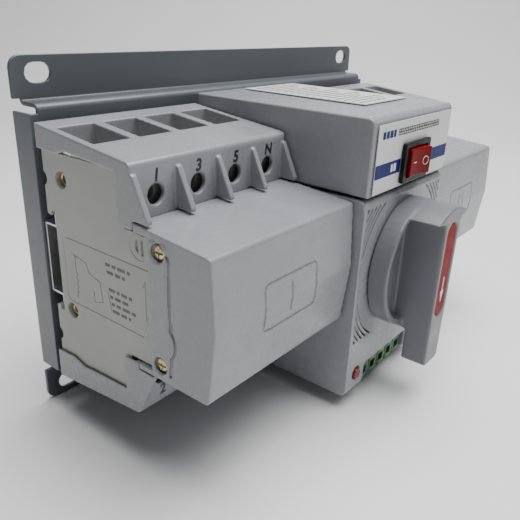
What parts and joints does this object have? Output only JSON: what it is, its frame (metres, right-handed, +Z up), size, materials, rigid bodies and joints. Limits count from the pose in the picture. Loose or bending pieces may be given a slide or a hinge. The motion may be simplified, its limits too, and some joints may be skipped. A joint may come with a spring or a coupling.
{
  "type": "manual transfer switch",
  "caption": "Pair of multi-pole breakers with joined toggles under box covers, on a bent steel plate, changed over by a rotary handle on a geared drive with a control box above.",
  "frame": {"origin": "centre of the bounding box in x and y, on the mounting plate's lower edge in z", "axes": "+X along the plate towards the right breaker, +Y back through the plate's flanges, +Z up the plate"},
  "size_m": [0.219, 0.1172, 0.1341],
  "materials": {
    "plate_paint": "semi-gloss slate paint",
    "zinc_steel": "zinc plated",
    "brass": "machined",
    "breaker_plastic": "fine matte moulding",
    "cover_plastic": "satin moulding",
    "handle_plastic": "satin moulding",
    "dark_plastic": "satin moulding",
    "red_plastic": "gloss moulding",
    "label": "printed film",
    "terminal_green": "satin moulding",
    "board_green": "lacquered board",
    "lens_red": "tinted lens",
    "natural_nylon": "natural nylon"
  },
  "bodies": {
    "frame": {"mounting_plate": "plate_paint", "left_din_rail": "zinc_steel", "left_pole_1": "breaker_plastic", "left_pole_2": "breaker_plastic", "left_pole_3": "breaker_plastic", "left_pole_4": "breaker_plastic", "left_upper_terminal_cover": "cover_plastic", "left_upper_strap_screw": "zinc_steel", "left_lower_terminal_cover": "cover_plastic", "left_lower_strap_screw": "zinc_steel", "left_front_cover": "cover_plastic", "led_left": "lens_red", "travel_switch_left": "dark_plastic", "right_din_rail": "zinc_steel", "right_pole_1": "breaker_plastic", "right_pole_2": "breaker_plastic", "right_pole_3": "breaker_plastic", "right_pole_4": "breaker_plastic", "right_upper_terminal_cover": "cover_plastic", "right_upper_strap_screw": "zinc_steel", "right_lower_terminal_cover": "cover_plastic", "right_lower_strap_screw": "zinc_steel", "right_front_cover": "cover_plastic", "led_right": "lens_red", "travel_switch_right": "dark_plastic", "drive_base": "dark_plastic", "bearing_plate": "zinc_steel", "slide_guide": "natural_nylon", "motor_gearbox": "zinc_steel", "drive_motor": "zinc_steel", "gear_housing": "cover_plastic", "signal_terminals": "terminal_green", "controller_cover": "cover_plastic", "controller_board": "board_green", "supply_transformer": "dark_plastic", "relay_1": "dark_plastic", "relay_2": "dark_plastic", "front_label": "label", "rating_label": "label", "rocker_bezel": "dark_plastic"},
    "handle": {"rotary_handle": "handle_plastic", "handle_insert": "red_plastic", "handle_shaft": "zinc_steel", "drive_gear": "natural_nylon", "rack_pinion": "brass"},
    "motor_output": {"motor_pinion": "brass"},
    "left_slide": {"left_slider": "natural_nylon"},
    "right_slide": {"right_slider": "natural_nylon"},
    "left_toggles": {"left_toggle_bar": "dark_plastic"},
    "right_toggles": {"right_toggle_bar": "dark_plastic"},
    "rocker": {"rocker_button": "red_plastic"}
  },
  "joints": [
    {"name": "handle_turn", "type": "hinge", "parent": "frame", "child": "handle", "pos_m": [0, -0.03835, 0.0583], "axis": [0, -1, 0], "range_deg": [-90, 90]},
    {"name": "motor_turn", "type": "hinge", "parent": "frame", "child": "motor_output", "pos_m": [0, -0.02805, 0.0295], "axis": [0, -1, 0], "range_deg": [-180, 180]},
    {"name": "left_slide_move", "type": "slide", "parent": "frame", "child": "left_slide", "axis": [0, 0, 1], "range_m": [-0.00943, 0.00943]},
    {"name": "right_slide_move", "type": "slide", "parent": "frame", "child": "right_slide", "axis": [0, 0, 1], "range_m": [-0.00943, 0.00943]},
    {"name": "left_toggle_turn", "type": "hinge", "parent": "frame", "child": "left_toggles", "pos_m": [-0.072, -0.01505, 0.0664], "axis": [1, 0, 0], "range_deg": [-46.5, 46.5]},
    {"name": "right_toggle_turn", "type": "hinge", "parent": "frame", "child": "right_toggles", "pos_m": [0.072, -0.01505, 0.0664], "axis": [1, 0, 0], "range_deg": [-46.5, 46.5]},
    {"name": "rocker_tilt", "type": "hinge", "parent": "frame", "child": "rocker", "pos_m": [-0.001, -0.03555, 0.1], "axis": [0, 0, 1], "range_deg": [0, 16]}
  ],
  "couplings": [
    {"joint": "motor_turn", "follows": "handle_turn", "ratio": -2},
    {"joint": "left_slide_move", "follows": "handle_turn", "m_per_rad": -0.006},
    {"joint": "right_slide_move", "follows": "handle_turn", "m_per_rad": 0.006},
    {"joint": "left_toggle_turn", "follows": "handle_turn", "ratio": 0.516},
    {"joint": "right_toggle_turn", "follows": "handle_turn", "ratio": -0.516}
  ]
}
